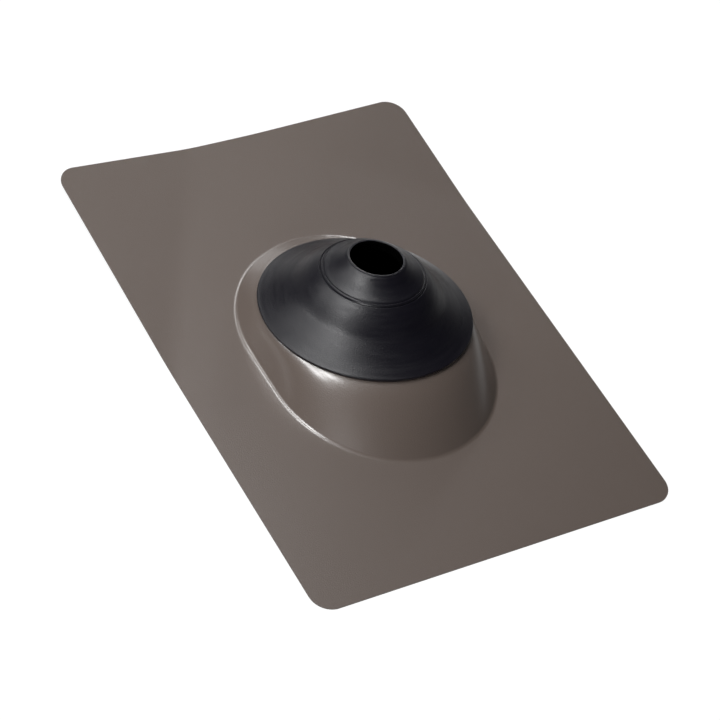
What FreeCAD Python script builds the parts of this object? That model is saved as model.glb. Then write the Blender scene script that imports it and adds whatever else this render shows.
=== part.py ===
# Pipe flashing boot for a round vent pipe on a pitched roof.
# A pressed aluminium base flashing (flat flange, oval dome, tilted round seat) carries
# one moulded rubber collar, which snaps over the edge of the hole in the seat.
# Frame: X across the slope, +Y up the slope, +Z away from the roof. The origin is the
# middle of the flange's underside, so the sheet lies on the roof at z = 0. Millimetres.
import FreeCAD, Part
import math
import os
from FreeCAD import Placement, Rotation, Vector

# ---- flange ----
flange_width = 292.0          # across the slope
flange_length = 395.0         # along the slope
corner_radius = 15.0
sheet = 0.8                   # thickness of the aluminium, everywhere

# The two upslope corners are bent up a little, each along a diagonal line. The line
# cuts the short edge and the long edge at these distances from the corner.
left_bend_short, left_bend_long, left_bend_angle = 121.5, 200.5, 5.5
right_bend_short, right_bend_long, right_bend_angle = 141.3, 117.0, 3.3
bend_width = 17.5             # how far each bend is spread

# ---- dome ----
# The seat is a flat ring, tilted to face upslope by a roof pitch of 2 in 12. The
# foot is an obround: two half circles about centres up and down the slope.
pitch_rise, pitch_run = 2.0, 12.0
seat_y = 5.6                  # middle of the seat
seat_low_edge = 11.2          # height of the seat's upslope edge, on top of the sheet
foot_margin = 7.4             # from the collar's rim out to the foot, at the sides
foot_downslope = 34.0         # the lower half circle's centre, from the seat's
foot_upslope = 5.7            # the upper one's
foot_fillet = 4.5             # pressed crease round the foot
seat_knee = 2.6               # rounding from the seat to the wall
steepest_wall = 84.0          # degrees from the roof
foot_swell = 8.0              # degrees by which the wall's foot is steeper than its chord
head_swell = 24.0             # degrees by which its head is flatter
foot_swell_share = 0.4        # most of the room below the steepest wall that each may take
head_swell_share = 1.2
wall_lead, wall_trail = 0.22, 0.45    # lengths of the wall's two handles, as shares

# ---- rubber collar ----
rim_radius = 76.1
rim_overhang = 3.1            # past the flat of the seat
rim_lip = 2.2                 # height of the outer edge
rim_shoulder = 1.4            # width of the rounding on top of it
rim_undercut = 0.5            # by which the edge leans in below
bore_radius = 18.5            # stretches over a nominal 1-1/2 inch pipe
bore_length = 7.0
bore_round = 0.7              # rounding of the mouth
bore_lip = 2.6                # width of the small lip round the mouth
bore_relief = 1.0             # chamfer inside, below the bore
collar_height = 46.4          # from the seat to the mouth
ring_radius = 36.4            # tear ring, cut out for a 3 inch pipe
ring_drop = 12.4              # from the mouth down to the ring
ring_half = 1.5               # half the ring's width along the radius
collar_wall = 3.0
seat_overlap = 13.1           # from the rim in to the edge of the metal's hole
groove_clearance = 0.2        # between that edge and the collar's neck
bead_overlap = 4.0            # the bead's reach under the sheet
bead_depth = 3.4
neck_width = 5.6

# ---- worked out ----
seat_radius = rim_radius - rim_overhang
seat_hole_radius = rim_radius - seat_overlap
foot_radius = rim_radius + foot_margin
seat_tilt = math.atan2(pitch_rise, pitch_run)
seat_height = seat_low_edge + seat_radius * math.sin(seat_tilt)
seat_centre = Vector(0, seat_y, seat_height)
seat_axis = Vector(0, math.sin(seat_tilt), math.cos(seat_tilt))
seat_upslope = Vector(0, math.cos(seat_tilt), -math.sin(seat_tilt))

# ---- how finely the dome's skin is drawn ----
stations = 48                 # round the dome
knee_rows, wall_rows, fillet_rows = 5, 6, 6


def seat_circle(turn, radius):
    """Point on a circle about the seat's axis; turn 0 is +X, a quarter turn is upslope."""
    around = Vector(radius * math.cos(turn), 0, 0) + seat_upslope * (radius * math.sin(turn))
    return seat_centre + around


def foot_distance(direction):
    """Distance in plan from the seat's centre to the obround foot, along a unit direction."""
    to_side = foot_radius / max(abs(direction.x), 1e-9)
    offset = foot_upslope if direction.y > 0 else -foot_downslope
    if abs(to_side * direction.y) <= abs(offset):
        return to_side
    along = offset * direction.y
    return along + math.sqrt(along ** 2 - offset ** 2 + foot_radius ** 2)


def cubic(poles, t):
    """Point (distance, height) on a cubic curve."""
    weights = ((1 - t) ** 3, 3 * t * (1 - t) ** 2, 3 * t * t * (1 - t), t ** 3)
    return tuple(sum(w * pole[axis] for w, pole in zip(weights, poles)) for axis in (0, 1))


def arc_points(centre, radius, start, end, count):
    """Points (distance, height) on an arc; the angles are slopes of the surface."""
    points = []
    for i in range(count):
        slope = start + (end - start) * i / (count - 1)
        points.append((centre[0] + radius * math.sin(slope), centre[1] + radius * math.cos(slope)))
    return points


def dome_profile(turn):
    """Top skin of the dome in one upright plane through the seat's centre, seat to flange."""
    start = seat_circle(turn, seat_radius)
    plan = Vector(start.x, start.y - seat_y, 0)
    reach = plan.Length
    direction = plan / reach
    foot = foot_distance(direction)

    # Where the chord is steep there is little room left to swell.
    chord = math.atan2(start.z - sheet, foot - reach)
    room = math.radians(steepest_wall) - chord
    foot_slope = chord + min(math.radians(foot_swell), foot_swell_share * room)
    head_slope = chord - min(math.radians(head_swell), head_swell_share * room)
    seat_slope = math.atan2(seat_height - start.z, reach)

    knee_centre = (reach - seat_knee * math.sin(seat_slope), start.z - seat_knee * math.cos(seat_slope))
    knee = arc_points(knee_centre, seat_knee, seat_slope, head_slope, knee_rows)
    fillet_centre = (foot + foot_fillet * math.tan(foot_slope / 2), sheet + foot_fillet)
    fillet = arc_points(fillet_centre, -foot_fillet, foot_slope, 0.0, fillet_rows)

    head, heel = knee[-1], fillet[0]
    length = math.hypot(heel[0] - head[0], heel[1] - head[1])
    lead, trail = wall_lead * length, wall_trail * length
    poles = (head, (head[0] + lead * math.cos(head_slope), head[1] - lead * math.sin(head_slope)),
             (heel[0] - trail * math.cos(foot_slope), heel[1] + trail * math.sin(foot_slope)), heel)
    wall = [cubic(poles, i / (wall_rows + 1)) for i in range(1, wall_rows + 1)]
    return [Vector(direction.x * d, seat_y + direction.y * d, z) for d, z in knee + wall + fillet]


def dome_skins():
    """Rings of points for the top skin and for the underside, one sheet's thickness below."""
    step, aside = 2 * math.pi / stations, math.radians(0.1)
    profiles = [dome_profile(i * step) for i in range(stations)]
    before = [dome_profile(i * step - aside) for i in range(stations)]
    after = [dome_profile(i * step + aside) for i in range(stations)]
    last = len(profiles[0]) - 1

    def underside(i, row):
        point = profiles[i][row]
        if row == 0:
            return point - seat_axis * sheet
        if row == last:
            return point - Vector(0, 0, sheet)
        around = after[i][row] - before[i][row]
        down = profiles[i][row + 1] - profiles[i][row - 1]
        return point - down.cross(around).normalize() * sheet

    top = [[profile[row] for profile in profiles] for row in range(last + 1)]
    under = [[underside(i, row) for i in range(stations)] for row in range(last + 1)]
    return top, under


def closed_wire(points):
    curve = Part.BSplineCurve()
    curve.interpolate(points, PeriodicFlag=True)
    return Part.Wire(curve.toShape())


def dome():
    """The pressed dome as one sheet, from the edge of its hole to the flange."""
    top, under = dome_skins()
    top_rings = [closed_wire(ring) for ring in top]
    under_rings = [closed_wire(ring) for ring in under]
    hole_top = Part.Wire(Part.makeCircle(seat_hole_radius, seat_centre, seat_axis))
    hole_under = Part.Wire(Part.makeCircle(seat_hole_radius, seat_centre - seat_axis * sheet, seat_axis))
    faces = Part.makeLoft(top_rings, False).Faces + Part.makeLoft(under_rings, False).Faces
    faces.append(Part.Face([top_rings[0], hole_top]))
    faces.append(Part.Face([under_rings[0], hole_under]))
    faces.append(Part.makeRuledSurface(hole_top.Edges[0], hole_under.Edges[0]))
    faces.append(Part.makeRuledSurface(top_rings[-1].Edges[0], under_rings[-1].Edges[0]))
    shell = Part.Shell(faces)
    shell.sewShape()
    solid = Part.Solid(shell)
    solid.fix(1e-5, 1e-5, 1e-3)
    return solid, upright_prism(top[-1], 0.0, sheet)


def upright_prism(ring, low, high):
    prism = Part.Face(closed_wire(ring)).extrude(Vector(0, 0, high - low))
    prism.translate(Vector(0, 0, low - ring[0].z))
    return prism


def flange_block(low, high):
    """The flange's rounded outline as an upright block between two heights."""
    corner = Vector(-flange_width / 2, -flange_length / 2, low)
    block = Part.makeBox(flange_width, flange_length, high - low, corner)
    upright = [e for e in block.Edges if abs(e.Vertexes[0].Z - e.Vertexes[1].Z) > sheet / 2]
    return block.makeFillet(corner_radius, upright)


def bent_corner(side, along_short, along_long, angle):
    """The raised corner beyond its bend line, and the flat piece that it takes the place of."""
    on_short = Vector(side * (flange_width / 2 - along_short), flange_length / 2, 0)
    on_long = Vector(side * flange_width / 2, flange_length / 2 - along_long, 0)
    along = (on_short - on_long).normalize()
    outward = Vector(side * abs(along.y), abs(along.x), 0)
    reach = along_short + along_long
    radius = bend_width / math.sin(angle)
    inner = radius - sheet

    def at(s, z):
        return on_long + outward * s + Vector(0, 0, z)

    def on_arc(r, share):
        return at(r * math.sin(angle * share), radius - r * math.cos(angle * share))

    beyond = (outward * math.cos(angle) + Vector(0, 0, math.sin(angle))) * reach
    under, top = on_arc(radius, 1), on_arc(inner, 1)
    bent = Part.Face(Part.Wire([
        Part.Arc(on_arc(radius, 0), on_arc(radius, 0.5), under).toShape(),
        Part.makeLine(under, under + beyond),
        Part.makeLine(under + beyond, top + beyond),
        Part.makeLine(top + beyond, top),
        Part.Arc(top, on_arc(inner, 0.5), on_arc(inner, 0)).toShape(),
        Part.makeLine(on_arc(inner, 0), on_arc(radius, 0))]))
    flat = Part.Face(Part.makePolygon([at(0, -sheet), at(reach, -sheet), at(reach, 2 * sheet),
                                       at(0, 2 * sheet), at(0, -sheet)]))
    solids = []
    for section in (bent, flat):
        section.translate(along * -reach)
        solids.append(section.extrude(along * 3 * reach))
    highest = reach * math.sin(angle) + sheet
    return solids[0].common(flange_block(-sheet, highest)), solids[1]


def base_flashing():
    flange = flange_block(0.0, sheet)
    flaps = []
    for corner in ((-1, left_bend_short, left_bend_long, math.radians(left_bend_angle)),
                   (1, right_bend_short, right_bend_long, math.radians(right_bend_angle))):
        flap, taken = bent_corner(*corner)
        flange = flange.cut(taken)
        flaps.append(flap)

    pressed_dome, footprint = dome()
    return flange.cut(footprint).multiFuse([pressed_dome] + flaps).Solids[0]


def at_radius(r, h):
    return Vector(r, 0, h)


def line(a, b):
    return Part.makeLine(at_radius(*a), at_radius(*b))


def arc(a, b, c):
    return Part.Arc(at_radius(*a), at_radius(*b), at_radius(*c)).toShape()


def curve(poles):
    bezier = Part.BezierCurve()
    bezier.setPoles([at_radius(*pole) for pole in poles])
    return bezier.toShape()


def between(a, b, share_r, share_h):
    """Point at a share of the way from a to b, by radius and by height."""
    return (a[0] + share_r * (b[0] - a[0]), a[1] + share_h * (b[1] - a[1]))


def collar_section():
    """Half section of the collar as (radius, height above the seat)."""
    neck = seat_hole_radius - groove_clearance
    bead = seat_hole_radius + bead_overlap
    inside = neck - neck_width
    bead_bottom = -sheet - bead_depth

    # Corners of the section, from the bore outwards.
    mouth = (bore_radius, collar_height - bore_round)
    bore_foot = (bore_radius, mouth[1] - bore_length)
    lip_top = (bore_radius + 0.35 * bore_lip, collar_height + 0.1)
    lip_foot = (bore_radius + bore_lip, collar_height - 0.42 * bore_lip)
    ring_height = collar_height - ring_drop
    ring_in = (ring_radius - ring_half, ring_height + 0.75 * ring_half)
    ring_out = (ring_radius + ring_half, ring_height - 0.75 * ring_half)
    band_in = between(ring_in, ring_out, 0.25, 0.1)
    band_out = between(ring_in, ring_out, 0.65, 0.55)
    rim_top = (rim_radius - rim_shoulder, rim_lip + rim_shoulder / 2)
    rim_side = (rim_radius, 0.65 * rim_lip)
    rim_foot = (rim_radius - rim_undercut, 0.0)

    # Outer flare, steepest below the ring and easing towards the rim, and its inner face.
    flare = (ring_out, between(ring_out, rim_top, 0.31, 0.28),
             between(ring_out, rim_top, 0.32, 0.55), rim_top)
    inner_flare = []
    for i in range(9):
        t = 0.02 + 0.075 * i
        (r0, h0), (r, h), (r1, h1) = cubic(flare, t - 0.01), cubic(flare, t), cubic(flare, t + 0.01)
        length = math.hypot(r1 - r0, h1 - h0)
        point = (r + collar_wall * (h1 - h0) / length, h - collar_wall * (r1 - r0) / length)
        if point[0] < inside - collar_wall / 2:
            inner_flare.append(at_radius(*point))
    (r0, h0), (r1, h1) = [(p.x, p.z) for p in inner_flare[-2:]]
    skirt_top = (inside, h1 + (inside - r1) * (h1 - h0) / (r1 - r0))
    inner_flare.append(at_radius(*skirt_top))
    under_skirt = Part.BSplineCurve()
    under_skirt.interpolate(list(reversed(inner_flare)))
    ring_under = (inner_flare[0].x, inner_flare[0].z)
    bore_chamfer = (bore_radius + bore_relief, bore_foot[1] - bore_relief)

    return Part.Face(Part.Wire([
        # bore, its rounded mouth and the small lip round it
        line(bore_foot, mouth),
        arc(mouth, (bore_radius + 0.3 * bore_round, collar_height - 0.2 * bore_round), lip_top),
        arc(lip_top, between(lip_top, lip_foot, 0.6, 0.35), lip_foot),
        # inner cone, hollow in profile
        curve((lip_foot, between(lip_foot, ring_in, 0.30, 0.42),
               between(lip_foot, ring_in, 0.61, 0.75), ring_in)),
        # tear ring: a fine groove, a raised band and a deeper groove
        arc(ring_in, between(ring_in, band_in, 0.45, 0.9), band_in),
        arc(band_in, between(band_in, band_out, 0.6, 0.35), band_out),
        arc(band_out, between(band_out, ring_out, 0.3, 0.75), ring_out),
        curve(flare),
        arc(rim_top, (rim_radius - 0.3, rim_lip + 0.1), rim_side),
        line(rim_side, rim_foot),
        # the groove that snaps over the edge of the hole, and the bead below it
        line(rim_foot, (neck, 0.0)),
        line((neck, 0.0), (neck, -sheet)),
        line((neck, -sheet), (bead, -sheet)),
        line((bead, -sheet), (bead, -sheet - 0.25 * bead_depth)),
        line((bead, -sheet - 0.25 * bead_depth), (neck, bead_bottom)),
        line((neck, bead_bottom), (inside, bead_bottom)),
        # inside of the skirt and of the cone
        line((inside, bead_bottom), skirt_top),
        under_skirt.toShape(),
        curve((ring_under, between(ring_under, bore_chamfer, 0.25, 0.2),
               between(ring_under, bore_chamfer, 0.65, 0.5), bore_chamfer)),
        line(bore_chamfer, bore_foot)]))


def rubber_collar():
    collar = collar_section().revolve(Vector(0, 0, 0), Vector(0, 0, 1), 360)
    collar.Placement = Placement(seat_centre, Rotation(Vector(0, 0, 1), seat_axis))
    return collar


os.makedirs("parts", exist_ok=True)
for name, shape in (("base_flashing", base_flashing()), ("rubber_collar", rubber_collar())):
    shape.exportStep("parts/" + name + ".step")
    print(name, "valid", shape.isValid(), "solids", len(shape.Solids), "volume", round(shape.Volume))
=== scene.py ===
import bmesh
import bpy
import math
from mathutils import Matrix, Vector


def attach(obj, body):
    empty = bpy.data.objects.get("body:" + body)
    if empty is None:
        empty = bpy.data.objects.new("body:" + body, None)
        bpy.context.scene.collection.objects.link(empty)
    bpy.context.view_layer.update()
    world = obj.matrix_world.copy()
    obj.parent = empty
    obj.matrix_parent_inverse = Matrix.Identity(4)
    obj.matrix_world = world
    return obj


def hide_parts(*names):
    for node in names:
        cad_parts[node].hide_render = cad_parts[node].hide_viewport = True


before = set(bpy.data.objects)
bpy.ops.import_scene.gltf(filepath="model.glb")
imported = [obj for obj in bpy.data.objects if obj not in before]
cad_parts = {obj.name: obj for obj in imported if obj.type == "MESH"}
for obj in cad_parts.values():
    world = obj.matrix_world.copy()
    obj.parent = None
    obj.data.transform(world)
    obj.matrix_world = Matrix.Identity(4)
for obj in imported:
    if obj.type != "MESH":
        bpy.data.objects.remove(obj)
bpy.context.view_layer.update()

# ---- base flashing ----
# One sheet of painted aluminium, pressed in a single stroke: a flat flange that goes under the
# shingles, and an oval dome with a tilted round seat, so that the pipe stands upright on a roof
# pitched 2 in 12. Its two upslope corners have been bent up a little in handling.
flange_width, flange_length, sheet = 0.292, 0.395, 0.0008
corner_radius, corner_steps = 0.015, 14
seat_tilt = math.atan2(2, 12)
seat_y, seat_height = 0.0056, 0.0232
seat_radius, seat_hole, seat_rows = 0.073, 0.063, (0.02, 0.5, 0.98)
seat_knee, knee_points = 0.0026, 7
foot_radius, foot_downslope, foot_upslope, straight_ahead = 0.0835, 0.034, 0.0057, 1e-9
foot_fillet, fillet_points, flat_rows = 0.0045, 9, (0.0015, 0.004)
# How much the wall is steeper at its foot and flatter at its head than a straight one: at most, as
# a share of the room up to the steepest slope, and how far its curve holds that slope.
steepest = math.radians(84)
foot_more, foot_share, foot_pull = math.radians(8), 0.4, 0.45
head_less, head_share, head_pull = math.radians(24), 1.2, 0.22
wall_steps, stations = 16, 192

seat_place = Matrix.Translation((0, seat_y, seat_height)) @ Matrix.Rotation(-seat_tilt, 4, "X")


def seat_point(turn, radius):
    """A point of the tilted seat's top, at a turn and a radius from the pipe's axis."""
    return seat_place @ Vector((radius * math.cos(turn), radius * math.sin(turn), 0))


def foot_reach(way):
    """From the seat's middle out to the foot of the dome, in plan."""
    to_side = foot_radius / max(abs(way.x), straight_ahead)
    offset = foot_upslope if way.y > 0 else -foot_downslope
    if abs(to_side * way.y) <= abs(offset):
        return to_side
    along = offset * way.y
    return along + math.sqrt(along ** 2 - offset ** 2 + foot_radius ** 2)


def arc(centre, radius, first, last, count):
    """Points of an arc as (reach, height), between two slopes below the level."""
    slopes = [first + (last - first) * i / (count - 1) for i in range(count)]
    return [(centre[0] + radius * math.sin(a), centre[1] + radius * math.cos(a)) for a in slopes]


def cubic(poles, count):
    """Points of a cubic curve after its first, as (reach, height)."""
    points = []
    for i in range(1, count + 1):
        t = i / count
        shares = ((1 - t) ** 3, 3 * t * (1 - t) ** 2, 3 * t * t * (1 - t), t ** 3)
        points.append(tuple(sum(s * p[k] for s, p in zip(shares, poles)) for k in (0, 1)))
    return points


def dome_line(turn):
    """The dome's top skin in one upright plane: knee, wall and fillet, from the seat outwards."""
    start = seat_point(turn, seat_radius)
    way = Vector((start.x, start.y - seat_y))
    reach = way.length
    way.normalize()
    foot = foot_reach(way)
    chord = math.atan2(start.z - sheet, foot - reach)
    room = steepest - chord
    foot_slope = chord + min(foot_more, foot_share * room)
    head_slope = chord - min(head_less, head_share * room)
    seat_slope = math.atan2(seat_height - start.z, reach)
    knee_middle = (reach - seat_knee * math.sin(seat_slope),
                   start.z - seat_knee * math.cos(seat_slope))
    knee = arc(knee_middle, seat_knee, seat_slope, head_slope, knee_points)
    fillet_middle = (foot + foot_fillet * math.tan(foot_slope / 2), sheet + foot_fillet)
    fillet = arc(fillet_middle, -foot_fillet, foot_slope, 0, fillet_points)
    (a, b), (c, d) = knee[-1], fillet[0]
    span = math.hypot(c - a, d - b)
    below_knee = (a + head_pull * span * math.cos(head_slope),
                  b - head_pull * span * math.sin(head_slope))
    above_foot = (c - foot_pull * span * math.cos(foot_slope),
                  d + foot_pull * span * math.sin(foot_slope))
    wall = cubic(((a, b), below_knee, above_foot, (c, d)), wall_steps)[:-1]
    flat = [(fillet[-1][0] + out, sheet) for out in flat_rows]
    return [Vector((way.x * r, seat_y + way.y * r, z)) for r, z in knee + wall + fillet + flat]


def open_circle(name, count, radius):
    """A ring of edges at the origin, left in edit mode with all of it selected."""
    bpy.ops.object.select_all(action="DESELECT")
    bpy.ops.mesh.primitive_circle_add(vertices=count, radius=radius, fill_type="NOTHING")
    piece = bpy.context.object
    piece.name = piece.data.name = name
    bpy.ops.object.mode_set(mode="EDIT")
    bpy.ops.mesh.select_all(action="SELECT")
    return piece


def put(piece, place):
    """Puts the selected points where place() says."""
    skin = bmesh.from_edit_mesh(piece.data)
    for point in skin.verts:
        if point.select:
            point.co = place(point.co)
    bmesh.update_edit_mesh(piece.data)


def draw_out(piece, place):
    """Extrudes the selected open edge and puts its new points where place() says."""
    bpy.ops.mesh.extrude_edges_move()
    put(piece, place)


step = math.tau / stations
dome_lines = [dome_line(i * step) for i in range(stations)]

dome = open_circle("dome", stations, seat_hole)
put(dome, lambda p: seat_point(math.atan2(p.y, p.x), seat_hole))


def station(p):
    """Number of the upright plane that a point of the dome lies in."""
    turn = math.atan2((p.y - seat_y) / math.cos(seat_tilt), p.x)
    return round(turn / step) % stations


for share in seat_rows:
    radius = seat_hole + share * (seat_radius - seat_hole)
    draw_out(dome, lambda p: seat_point(station(p) * step, radius))
for row in range(len(dome_lines[0])):
    draw_out(dome, lambda p: dome_lines[station(p)][row])
bpy.ops.object.mode_set(mode="OBJECT")

# The flange is a plate with rounded corners, joined to the last ring of the dome.
same_place, on_top = 1e-6, 1e-5
bpy.ops.object.select_all(action="DESELECT")
bpy.ops.mesh.primitive_plane_add(size=1, location=(0, 0, sheet))
flange = bpy.context.object
flange.data.transform(Matrix.Diagonal((flange_width, flange_length, 1, 1)))
bpy.ops.object.transform_apply(location=True)
bpy.ops.object.mode_set(mode="EDIT")
bpy.ops.mesh.select_all(action="SELECT")
bpy.ops.mesh.bevel(offset=corner_radius, segments=corner_steps, affect="VERTICES")
bpy.ops.mesh.delete(type="ONLY_FACE")
bpy.ops.mesh.select_all(action="SELECT")
bpy.ops.object.mode_set(mode="OBJECT")
dome.select_set(True)
bpy.context.view_layer.objects.active = dome
bpy.ops.object.join()
flashing = dome
flashing.name = flashing.data.name = "pressed_flashing"
bpy.ops.object.mode_set(mode="EDIT")
bpy.ops.mesh.select_all(action="DESELECT")
skin = bmesh.from_edit_mesh(flashing.data)
for edge in skin.edges:
    lies_flat = all(abs(v.co.z - sheet) < same_place for v in edge.verts)
    edge.select_set(lies_flat and len(edge.link_faces) < 2)
bmesh.update_edit_mesh(flashing.data)
bpy.ops.mesh.fill(use_beauty=True)

# Each bend runs along a line between two points, so far from the corner on its short side and
# its long side. The sheet curves over the spread and goes on straight.
bend_spread, bend_steps = 0.0175, 8
left_bend_short, left_bend_long, left_bend_angle = 0.1215, 0.2005, math.radians(5.5)
right_bend_short, right_bend_long, right_bend_angle = 0.1413, 0.117, math.radians(3.3)


def bend_up(side, along_short, along_long, angle):
    """Bends one upslope corner of the flange up, past a diagonal line."""
    on_short = Vector((side * (flange_width / 2 - along_short), flange_length / 2))
    on_long = Vector((side * flange_width / 2, flange_length / 2 - along_long))
    line = (on_short - on_long).normalized()
    across = Vector((side * abs(line.y), abs(line.x)))
    radius = bend_spread / math.sin(angle)
    inner = radius - sheet
    edge = inner * math.sin(angle)
    for i in range(bend_steps + 1):
        bpy.ops.mesh.select_all(action="SELECT")
        start = on_long + across * (edge * i / bend_steps)
        bpy.ops.mesh.bisect(plane_co=(start.x, start.y, 0), plane_no=(across.x, across.y, 0))
    skin = bmesh.from_edit_mesh(flashing.data)
    for point in skin.verts:
        past = (point.co.xy - on_long).dot(across)
        if past > 0 and abs(point.co.z - sheet) < on_top:
            bent = min(past, edge)
            lift = radius - math.sqrt(inner ** 2 - bent ** 2) - sheet
            point.co.z += lift + (past - bent) * math.tan(angle)
    bmesh.update_edit_mesh(flashing.data)


bend_up(-1, left_bend_short, left_bend_long, left_bend_angle)
bend_up(1, right_bend_short, right_bend_long, right_bend_angle)
bpy.ops.mesh.select_all(action="SELECT")
bpy.ops.mesh.remove_doubles(threshold=same_place)
bpy.ops.mesh.normals_make_consistent(inside=False)
bpy.ops.object.mode_set(mode="OBJECT")
highest = max(flashing.data.polygons, key=lambda f: f.center.z)
if highest.normal.z < 0:
    flashing.data.flip_normals()


def finish_with(piece, kind, **settings):
    """Gives a piece one modifier and applies it."""
    bpy.ops.object.select_all(action="DESELECT")
    piece.select_set(True)
    bpy.context.view_layer.objects.active = piece
    modifier = piece.modifiers.new(kind.lower(), kind)
    for key, value in settings.items():
        setattr(modifier, key, value)
    bpy.ops.object.modifier_apply(modifier=modifier.name)


sheet_edge, sheet_edge_angle = 0.00018, math.radians(50)
finish_with(flashing, "SOLIDIFY", thickness=sheet, offset=-1, use_quality_normals=True)
finish_with(flashing, "BEVEL", width=sheet_edge, segments=2, limit_method="ANGLE",
            angle_limit=sheet_edge_angle)
flashing.data.shade_smooth()
finish_with(flashing, "WEIGHTED_NORMAL", weight=60, keep_sharp=True)


def add_node(tree, kind, operation=None):
    """A new shader node of one kind, and of one operation where it has several."""
    made = tree.nodes.new("ShaderNode" + kind)
    if operation:
        made.operation = operation
    return made


def grain_group():
    """Height of a fine grain: the peel of sprayed paint, or the skin of moulded rubber."""
    group = bpy.data.node_groups.new("surface_grain", "ShaderNodeTree")
    for name, value in (("Size", 0.001), ("Softness", 0.5)):
        socket = group.interface.new_socket(name=name, in_out="INPUT",
                                            socket_type="NodeSocketFloat")
        socket.default_value = value
    group.interface.new_socket(name="Height", in_out="OUTPUT", socket_type="NodeSocketFloat")
    given, result = group.nodes.new("NodeGroupInput"), group.nodes.new("NodeGroupOutput")
    place, noise = add_node(group, "TexCoord"), add_node(group, "TexNoise")
    scale = add_node(group, "Math", "DIVIDE")
    scale.inputs[0].default_value = 1.0
    noise.inputs["Detail"].default_value = 2.0
    links = group.links
    links.new(given.outputs["Size"], scale.inputs[1])
    links.new(scale.outputs[0], noise.inputs["Scale"])
    links.new(given.outputs["Softness"], noise.inputs["Roughness"])
    links.new(place.outputs["Object"], noise.inputs["Vector"])
    links.new(noise.outputs["Fac"], result.inputs["Height"])
    return group


grain = grain_group()
gloss_roughness, gloss_ior = 0.24, 1.75


def grained(name, colour, roughness, specular, grain_size, grain_depth, gloss=0.0):
    """A material of one colour with a fine grain, and with a clear gloss over it if asked."""
    made = bpy.data.materials.new(name)
    made.use_nodes = True
    tree = made.node_tree
    shader = tree.nodes["Principled BSDF"]
    shader.inputs["Base Color"].default_value = (*colour, 1)
    shader.inputs["Roughness"].default_value = roughness
    shader.inputs["Specular IOR Level"].default_value = specular
    shader.inputs["Coat Weight"].default_value = gloss
    shader.inputs["Coat Roughness"].default_value = gloss_roughness
    shader.inputs["Coat IOR"].default_value = gloss_ior
    surface, bump = add_node(tree, "Group"), add_node(tree, "Bump")
    surface.node_tree = grain
    surface.inputs["Size"].default_value = grain_size
    bump.inputs["Distance"].default_value = grain_depth
    tree.links.new(surface.outputs["Height"], bump.inputs["Height"])
    tree.links.new(bump.outputs["Normal"], shader.inputs["Normal"])
    return made


paint = grained("brown_paint", colour=(0.1105, 0.0866, 0.0742), roughness=0.38, specular=0.45,
                grain_size=0.0008, grain_depth=0.00022, gloss=1.0)
flashing.data.materials.append(paint)
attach(flashing, "root")
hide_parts("base_flashing")

# ---- rubber collar ----
# One moulding of black rubber, turned about the pipe: a cone with a small bore, a tear ring that
# is cut out for a bigger pipe, a wide flare, and a groove below its rim that snaps over the edge
# of the hole in the seat.
mm = 0.001
rim_radius, rim_lip = 0.0761, 0.0022
bore_radius, bore_length, collar_height = 0.0185, 0.007, 0.0464
ring_radius, ring_drop, ring_half, ring_slope = 0.0364, 0.0124, 0.0015, 0.75
neck, bead, inside = 0.0628, 0.067, 0.0572
seat_under, bead_under, skirt_foot = -0.8 * mm, -1.7 * mm, -4.2 * mm
# Each curve is drawn towards two poles, at these shares of its way out and of its way up.
cone_poles, cone_steps = ((0.30, 0.42), (0.61, 0.75)), 18
flare_poles, flare_steps, steps_under_ring = ((0.31, 0.28), (0.32, 0.55)), 48, 3
collar_sides = 160


def skin_curve(a, b, poles, count):
    """The rubber's skin from a to b, without a, as (radius, height)."""
    between = [(a[0] + out * (b[0] - a[0]), a[1] + up * (b[1] - a[1])) for out, up in poles]
    return cubic((a, *between, b), count)


mouth = (bore_radius, collar_height - 0.35 * mm)
bore_foot = mouth[1] - bore_length
lip_foot = (bore_radius + 2.6 * mm, collar_height - 1.1 * mm)
ring_height = collar_height - ring_drop
ring_in = (ring_radius - ring_half, ring_height + ring_slope * ring_half)
ring_out = (ring_radius + ring_half, ring_height - ring_slope * ring_half)
rim_top = (rim_radius - 1.4 * mm, rim_lip + 0.7 * mm)

# The lip round the mouth of the bore, in millimetres out from the bore and up from the top.
lip = [(0.1, -0.1), (0.3, 0), (1.45, 0.03), (1.6, -0.1), (1.7, -0.6), (1.9, -0.8)]
outer = [(bore_radius, bore_foot), (bore_radius, mouth[1] - 3 * mm), mouth]
outer += [(bore_radius + out * mm, collar_height + up * mm) for out, up in lip]
outer += [lip_foot]
outer += skin_curve(lip_foot, ring_in, cone_poles, cone_steps)
# The tear ring, in millimetres: out from its inner edge, and up from the slope between its edges.
ring = [(0.15, -0.25), (0.35, -0.55), (0.6, -0.5), (0.8, -0.1), (1.0, 0.05), (1.35, 0.08),
        (1.65, -0.05), (1.8, -0.5), (2.05, -1.0), (2.35, -0.95), (2.55, -0.45), (2.7, -0.02),
        (2.95, 0.15), (3.3, 0.08)]
outer += [(ring_in[0] + out * mm, ring_in[1] + (up - ring_slope * out) * mm) for out, up in ring]
# The flare sinks a little in two shallow waves, each at a radius, so wide, and so many mm deep.
waves = ((0.0533, 0.0036, 0.42), (0.0672, 0.0036, 0.2))
flare = skin_curve(ring_out, rim_top, flare_poles, flare_steps)[steps_under_ring:]
outer += [(r, h - sum(deep * mm * math.exp(-((r - at) / wide) ** 2) for at, wide, deep in waves))
          for r, h in flare]
# The rim, in millimetres in from its radius and up from its lip, and then its undercut.
rim = [(0.7, 0.42), (0.25, 0.22), (0.05, 0), (0, -0.25), (0.06, -0.5)]
outer += [(rim_radius - back * mm, rim_lip + up * mm) for back, up in rim]
outer += [(rim_radius - 0.6 * mm, 0.25 * mm), (rim_radius - 0.9 * mm, 0.02 * mm)]
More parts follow.
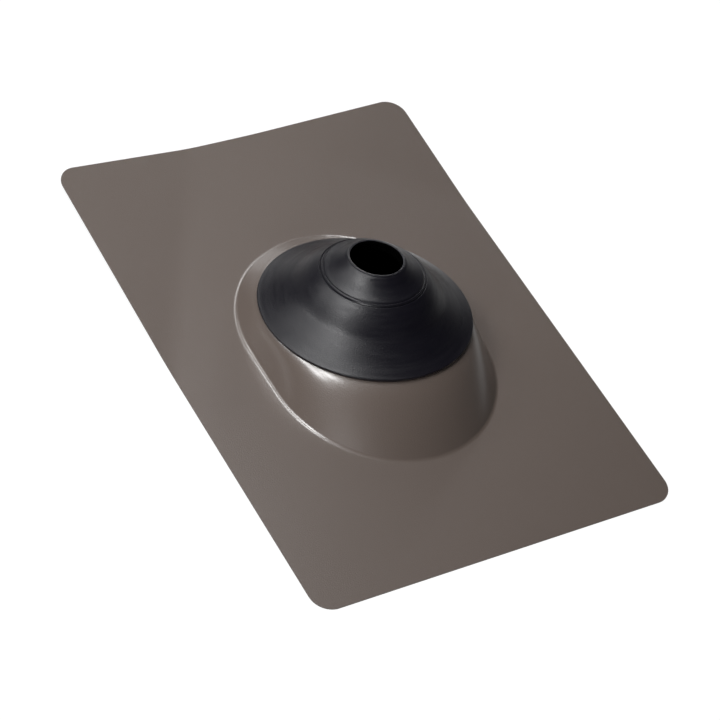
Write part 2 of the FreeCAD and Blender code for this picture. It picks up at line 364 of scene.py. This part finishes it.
# Under the rim the groove's neck and bead, and then up the inside to the foot of the bore.
groove = [(neck, 0.0), (neck, seat_under), (bead, seat_under), (bead, bead_under),
          (neck, skirt_foot), (inside, skirt_foot)]
hollow = [(inside, 4.5 * mm), (0.0545, 6.6 * mm), (0.0475, 12.4 * mm), (0.041, 19 * mm),
          (0.0362, 26.6 * mm), (0.0345, 31 * mm), (0.0295, 33.6 * mm), (0.0236, 36.6 * mm),
          (bore_radius + 1 * mm, bore_foot - 1 * mm)]

collar = open_circle("snap_in_collar", collar_sides, bore_radius)
put(collar, lambda p: Vector((p.x, p.y, bore_foot)))
for radius, height in outer[1:] + groove + hollow:
    draw_out(collar, lambda p: Vector((*(p.xy.normalized() * radius), height)))
bpy.ops.mesh.select_all(action="DESELECT")
skin = bmesh.from_edit_mesh(collar.data)
for edge in skin.edges:
    edge.select_set(len(edge.link_faces) < 2)
bmesh.update_edit_mesh(collar.data)
bpy.ops.mesh.bridge_edge_loops()
bpy.ops.mesh.select_all(action="SELECT")
bpy.ops.mesh.normals_make_consistent(inside=False)
bpy.ops.object.mode_set(mode="OBJECT")

# Painted shade: the wall of the bore and the hollow are a dull black, as dark as a real deep bore.
shaded_bore_rows = 2
shaded_hollow_from = len(outer) + len(groove) - 2
for number, face in enumerate(collar.data.polygons):
    row = number // collar_sides
    if row < shaded_bore_rows or row >= shaded_hollow_from:
        face.material_index = 1
collar.data.transform(seat_place)
collar.data.shade_smooth()
rubber_edge, rubber_edge_angle = 0.00025, math.radians(60)
finish_with(collar, "BEVEL", width=rubber_edge, segments=2, limit_method="ANGLE",
            angle_limit=rubber_edge_angle)

# Painted shade for the bore and the hollow: black like the rubber, but near black, matt and
# without gloss.
shade_inside_material = bpy.data.materials.new("painted_shade_inside")
shade_inside_material.use_nodes = True
shader = shade_inside_material.node_tree.nodes["Principled BSDF"]
shader.inputs["Base Color"].default_value = (0.001, 0.001, 0.001, 1)
shader.inputs["Roughness"].default_value = 1
shader.inputs["Specular IOR Level"].default_value = 0

rubber = grained("black_rubber", colour=(0.0040, 0.0036, 0.0066), roughness=0.38, specular=0.43,
                 grain_size=0.0009, grain_depth=0.00009)
# The mould was turned, so faint streaks run round the rubber: they blur its gloss here and there.
streak_scale, streak_detail, streak_turn = 420, 3, 0.006
streak_masks, streak_roughness = (0.3, 0.7), (0.335, 0.425)
# The noise is laid out by the distance from the pipe's axis and, far less, by the turn about it.
tree, links = rubber.node_tree, rubber.node_tree.links
place, upright = add_node(tree, "TexCoord"), add_node(tree, "Mapping")
upright.inputs["Location"].default_value = (
    0, -seat_y * math.cos(seat_tilt) + seat_height * math.sin(seat_tilt), 0)
upright.inputs["Rotation"].default_value = (seat_tilt, 0, 0)
parts, flat, spread = (add_node(tree, "SeparateXYZ"), add_node(tree, "CombineXYZ"),
                       add_node(tree, "CombineXYZ"))
reach, turned = add_node(tree, "VectorMath", "LENGTH"), add_node(tree, "Math", "ARCTAN2")
round_about = add_node(tree, "Math", "MULTIPLY")
round_about.inputs[1].default_value = streak_turn
streak, gloss = add_node(tree, "TexNoise"), add_node(tree, "MapRange")
streak.inputs["Scale"].default_value = streak_scale
streak.inputs["Detail"].default_value = streak_detail
gloss.inputs["From Min"].default_value, gloss.inputs["From Max"].default_value = streak_masks
gloss.inputs["To Min"].default_value, gloss.inputs["To Max"].default_value = streak_roughness
links.new(place.outputs["Object"], upright.inputs["Vector"])
links.new(upright.outputs[0], parts.inputs[0])
links.new(parts.outputs["X"], flat.inputs["X"])
links.new(parts.outputs["Y"], flat.inputs["Y"])
links.new(flat.outputs[0], reach.inputs[0])
links.new(reach.outputs["Value"], spread.inputs["X"])
links.new(parts.outputs["Y"], turned.inputs[0])
links.new(parts.outputs["X"], turned.inputs[1])
links.new(turned.outputs[0], round_about.inputs[0])
links.new(round_about.outputs[0], spread.inputs["Y"])
links.new(spread.outputs[0], streak.inputs["Vector"])
links.new(streak.outputs["Fac"], gloss.inputs["Value"])
links.new(gloss.outputs["Result"], tree.nodes["Principled BSDF"].inputs["Roughness"])
collar.data.materials.append(rubber)
collar.data.materials.append(shade_inside_material)
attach(collar, "root")
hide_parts("rubber_collar")

# ---- floor ----
# A white sweep that the flashing lies on. It is pale grey to the light and white to the eye, and
# only a little of that white is left for the gloss on the rubber, which it would turn grey.
floor_size, floor_grey, floor_white = 12, 0.3, 1.34
white_to_eye, white_to_gloss = 0.7, 0.1
bpy.ops.object.select_all(action="DESELECT")
bpy.ops.mesh.primitive_plane_add(size=floor_size)
floor = bpy.context.object
floor.name = floor.data.name = "floor"
white = bpy.data.materials.new("white_sweep")
white.use_nodes = True
tree, links = white.node_tree, white.node_tree.links
tree.nodes.clear()
matt, glow = add_node(tree, "BsdfDiffuse"), add_node(tree, "Emission")
matt.inputs["Color"].default_value = (floor_grey, floor_grey, floor_grey, 1)
glow.inputs["Strength"].default_value = floor_white
path, mix, out = (add_node(tree, "LightPath"), add_node(tree, "MixShader"),
                  add_node(tree, "OutputMaterial"))
seen, eye = add_node(tree, "Math", "MAXIMUM"), add_node(tree, "Math", "MULTIPLY_ADD")
mirrored = add_node(tree, "Math", "MULTIPLY")
eye.inputs[1].default_value = white_to_eye
mirrored.inputs[1].default_value = white_to_gloss
links.new(path.outputs["Is Glossy Ray"], mirrored.inputs[0])
links.new(path.outputs["Is Camera Ray"], seen.inputs[0])
links.new(path.outputs["Is Transmission Ray"], seen.inputs[1])
links.new(seen.outputs[0], eye.inputs[0])
links.new(mirrored.outputs[0], eye.inputs[2])
links.new(eye.outputs[0], mix.inputs[0])
links.new(matt.outputs[0], mix.inputs[1])
links.new(glow.outputs[0], mix.inputs[2])
links.new(mix.outputs[0], out.inputs["Surface"])
floor.data.materials.append(white)

# ---- painted shade under the dome ----
# An oval of black on the floor under the dome, painted shade where the hollow is dark. It keeps
# the white floor from showing through the bore, which looks dark from every side.
shade_radius, shade_long, shade_y, shade_height = 0.086, 1.24, -0.0086, 0.0001
bpy.ops.object.select_all(action="DESELECT")
bpy.ops.mesh.primitive_circle_add(vertices=96, radius=shade_radius, fill_type="NGON")
painted_shade = bpy.context.object
oval = Matrix.Diagonal((1, shade_long, 1, 1))
painted_shade.data.transform(Matrix.Translation((0, shade_y, shade_height)) @ oval)
painted_shade.name = painted_shade.data.name = "painted_shade_oval"
# Painted shade: a matt black for the floor that lies in the dark under the dome.
black = bpy.data.materials.new("painted_shade_black")
black.use_nodes = True
shader = black.node_tree.nodes["Principled BSDF"]
shader.inputs["Base Color"].default_value = (0.002, 0.002, 0.002, 1)
shader.inputs["Roughness"].default_value = 1.0
painted_shade.data.materials.append(black)

# ---- studio light ----
# Round soft lamps, and almost nothing from the room: the key on the left with others beside and
# above it, two small ones nearly overhead at the back, and broad low ones for the pale walls
# behind and for the room in front on the left.
room_light = 0.02
world = bpy.data.worlds.new("studio")
bpy.context.scene.world = world
world.use_nodes = True
world.node_tree.nodes["Background"].inputs["Color"].default_value = (1, 1, 1, 1)
world.node_tree.nodes["Background"].inputs["Strength"].default_value = room_light


def lamp(name, turn, rise, size, power, away=2.0):
    """A lamp so far away, at a turn from +X and a rise above the floor in degrees."""
    data = bpy.data.lights.new(name, "AREA")
    data.shape, data.size, data.energy = "DISK", size, power
    made = bpy.data.objects.new(name, data)
    bpy.context.collection.objects.link(made)
    turn, rise = math.radians(turn), math.radians(rise)
    way = Vector((math.cos(rise) * math.cos(turn), math.cos(rise) * math.sin(turn),
                  math.sin(rise)))
    made.location = way * away
    made.rotation_euler = way.to_track_quat("Z", "Y").to_euler()


soft, wide, low = 0.42, 0.60, 0.55
lamp("high_back", turn=120, rise=76, size=0.23, power=2.4, away=1.0)
lamp("top_back", turn=120, rise=62, size=0.21, power=1.65, away=1.0)
lamp("top_left", turn=180, rise=62, size=soft, power=9.3)
lamp("top_right", turn=60, rise=62, size=soft, power=1.4)
lamp("key_back", turn=160, rise=48, size=soft, power=6.3)
lamp("key", turn=180, rise=48, size=soft, power=7.2)
lamp("low_back", turn=120, rise=34, size=soft, power=1.5)
lamp("low_left", turn=140, rise=34, size=soft, power=4.5)
lamp("back_wall", turn=80, rise=30, size=wide, power=4.2)
lamp("back_high", turn=84, rise=46, size=wide, power=2.8)
lamp("right_wall", turn=45, rise=10, size=low, power=6.2)
lamp("right_wall_end", turn=75, rise=10, size=low, power=1.2)
lamp("left_wall", turn=225, rise=10, size=low, power=15.0)

# ---- camera ----
# A long lens about two metres off. It stands beyond the downslope end on the left, well above
# the floor, and leans a little to one side.
lens, film_width, camera_place = 136.86, 36, (-0.9550, -0.9191, 1.3791)
across, up, back = (0.8358, -0.4865, 0.2544), (0.2327, 0.7337, 0.6384), (-0.4972, -0.4744, 0.7264)
view = bpy.data.objects.new("view", bpy.data.cameras.new("view"))
bpy.context.collection.objects.link(view)
view.data.lens, view.data.sensor_width = lens, film_width
aim = Matrix((across, up, back)).transposed().to_4x4()
view.matrix_world = Matrix.Translation(camera_place) @ aim
bpy.context.scene.camera = view
bpy.context.scene.view_settings.view_transform = "Standard"
